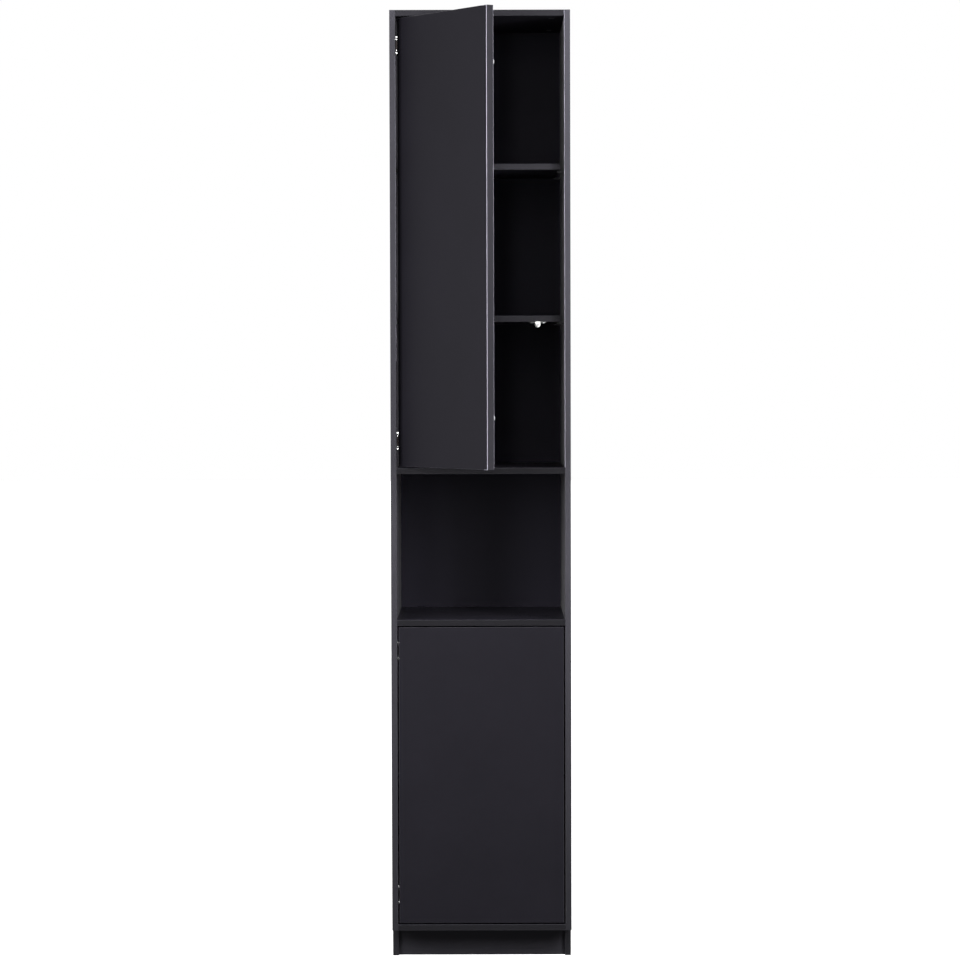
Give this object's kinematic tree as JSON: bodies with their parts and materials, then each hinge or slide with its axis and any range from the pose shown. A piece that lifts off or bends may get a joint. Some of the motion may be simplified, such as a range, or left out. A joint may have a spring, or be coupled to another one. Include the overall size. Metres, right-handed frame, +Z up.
{
  "type": "storage cabinet",
  "caption": "Tall narrow matte black bathroom storage cabinet with an open upper door on concealed hinges, an open niche and a closed lower door, on a recessed plinth.",
  "frame": {"origin": "On the floor under the middle of the plinth board, midway between the sides", "axes": "+Z up along the height, +X to the right across the width, front faces -Y"},
  "size_m": [0.36, 0.6562, 1.9],
  "materials": {
    "black_board": "matte",
    "nickel": "satin",
    "zinc": "satin",
    "white_plastic": "satin",
    "black_plastic": "matte",
    "buffer": "matte",
    "magnet": "satin",
    "beech": "matte"
  },
  "bodies": {
    "carcass": {"side_panel_left": "black_board", "side_panel_right": "black_board", "top_panel": "black_board", "upper_fixed_panel": "black_board", "lower_fixed_panel": "black_board", "bottom_panel": "black_board", "plinth_board": "black_board", "back_panel": "black_board", "shelf_top": "black_board", "shelf_middle": "black_board", "shelf_lower": "black_board", "dowels": "beech", "cam_bolts": "zinc", "cam_locks": "zinc", "shelf_pins": "black_plastic", "hinge_plate_1": "nickel", "hinge_plate_2": "nickel", "hinge_plate_3": "nickel", "hinge_plate_4": "nickel", "hinge_arm_1": "nickel", "hinge_arm_2": "nickel", "hinge_arm_3": "nickel", "hinge_arm_4": "nickel", "hinge_plate_screws": "nickel", "hinge_arm_screws": "zinc", "hinge_arm_pins": "nickel", "upper_latch_housing": "white_plastic", "lower_latch_housing": "white_plastic", "latch_screws": "zinc"},
    "upper_inner_links": {"inner_link_1": "zinc", "inner_link_2": "zinc"},
    "upper_door_leaf": {"upper_door": "black_board", "upper_cup_screws": "nickel", "upper_cup_pins": "nickel", "upper_door_buffers": "buffer", "upper_strike_plate": "nickel", "upper_strike_screw": "zinc", "hinge_cup_1": "nickel", "hinge_cup_2": "nickel"},
    "upper_outer_links": {"outer_link_1": "zinc", "outer_link_2": "zinc"},
    "upper_plunger": {"upper_latch_plunger": "white_plastic", "upper_latch_magnet": "magnet"},
    "lower_inner_links": {"inner_link_3": "zinc", "inner_link_4": "zinc"},
    "lower_door_leaf": {"lower_door": "black_board", "lower_cup_screws": "nickel", "lower_cup_pins": "nickel", "lower_door_buffers": "buffer", "lower_strike_plate": "nickel", "lower_strike_screw": "zinc", "hinge_cup_3": "nickel", "hinge_cup_4": "nickel"},
    "lower_outer_links": {"outer_link_3": "zinc", "outer_link_4": "zinc"},
    "lower_plunger": {"lower_latch_plunger": "white_plastic", "lower_latch_magnet": "magnet"}
  },
  "joints": [
    {"name": "upper_inner_swing", "type": "hinge", "parent": "carcass", "child": "upper_inner_links", "pos_m": [-0.132, -0.0578, 1.438], "axis": [0, 0, -1], "range_deg": [-13.21, 8.66]},
    {"name": "upper_door_swing", "type": "hinge", "parent": "upper_inner_links", "child": "upper_door_leaf", "pos_m": [-0.14999, -0.06529, 1.438], "axis": [0, 0, -1], "range_deg": [-44.2, 28.95]},
    {"name": "upper_outer_swing", "type": "hinge", "parent": "upper_door_leaf", "child": "upper_outer_links", "pos_m": [-0.14702, -0.06992, 1.438], "axis": [0, 0, -1], "range_deg": [-21.07, 32.15]},
    {"name": "upper_plunger_slide", "type": "slide", "parent": "carcass", "child": "upper_plunger", "axis": [0, -1, 0], "range_m": [-0.00303, 0.00199]},
    {"name": "lower_inner_swing", "type": "hinge", "parent": "carcass", "child": "lower_inner_links", "pos_m": [-0.132, -0.0578, 0.372], "axis": [0, 0, -1], "range_deg": [0, 21.86]},
    {"name": "lower_door_swing", "type": "hinge", "parent": "lower_inner_links", "child": "lower_door_leaf", "pos_m": [-0.1478, -0.0692, 0.372], "axis": [0, 0, -1], "range_deg": [0, 73.15]},
    {"name": "lower_outer_swing", "type": "hinge", "parent": "lower_door_leaf", "child": "lower_outer_links", "pos_m": [-0.1423, -0.0692, 0.372], "axis": [0, 0, -1], "range_deg": [-53.21, 0]},
    {"name": "lower_plunger_slide", "type": "slide", "parent": "carcass", "child": "lower_plunger", "axis": [0, -1, 0], "range_m": [0, 0.00501]}
  ],
  "couplings": [
    {"joint": "upper_inner_swing", "follows": "upper_door_swing", "ratio": 0.2987},
    {"joint": "upper_outer_swing", "follows": "upper_door_swing", "ratio": -0.72727},
    {"joint": "upper_plunger_slide", "follows": "upper_door_swing", "m_per_rad": 0.0039163},
    {"joint": "lower_inner_swing", "follows": "lower_door_swing", "ratio": 0.2987},
    {"joint": "lower_outer_swing", "follows": "lower_door_swing", "ratio": -0.72727},
    {"joint": "lower_plunger_slide", "follows": "lower_door_swing", "m_per_rad": 0.0039163}
  ]
}
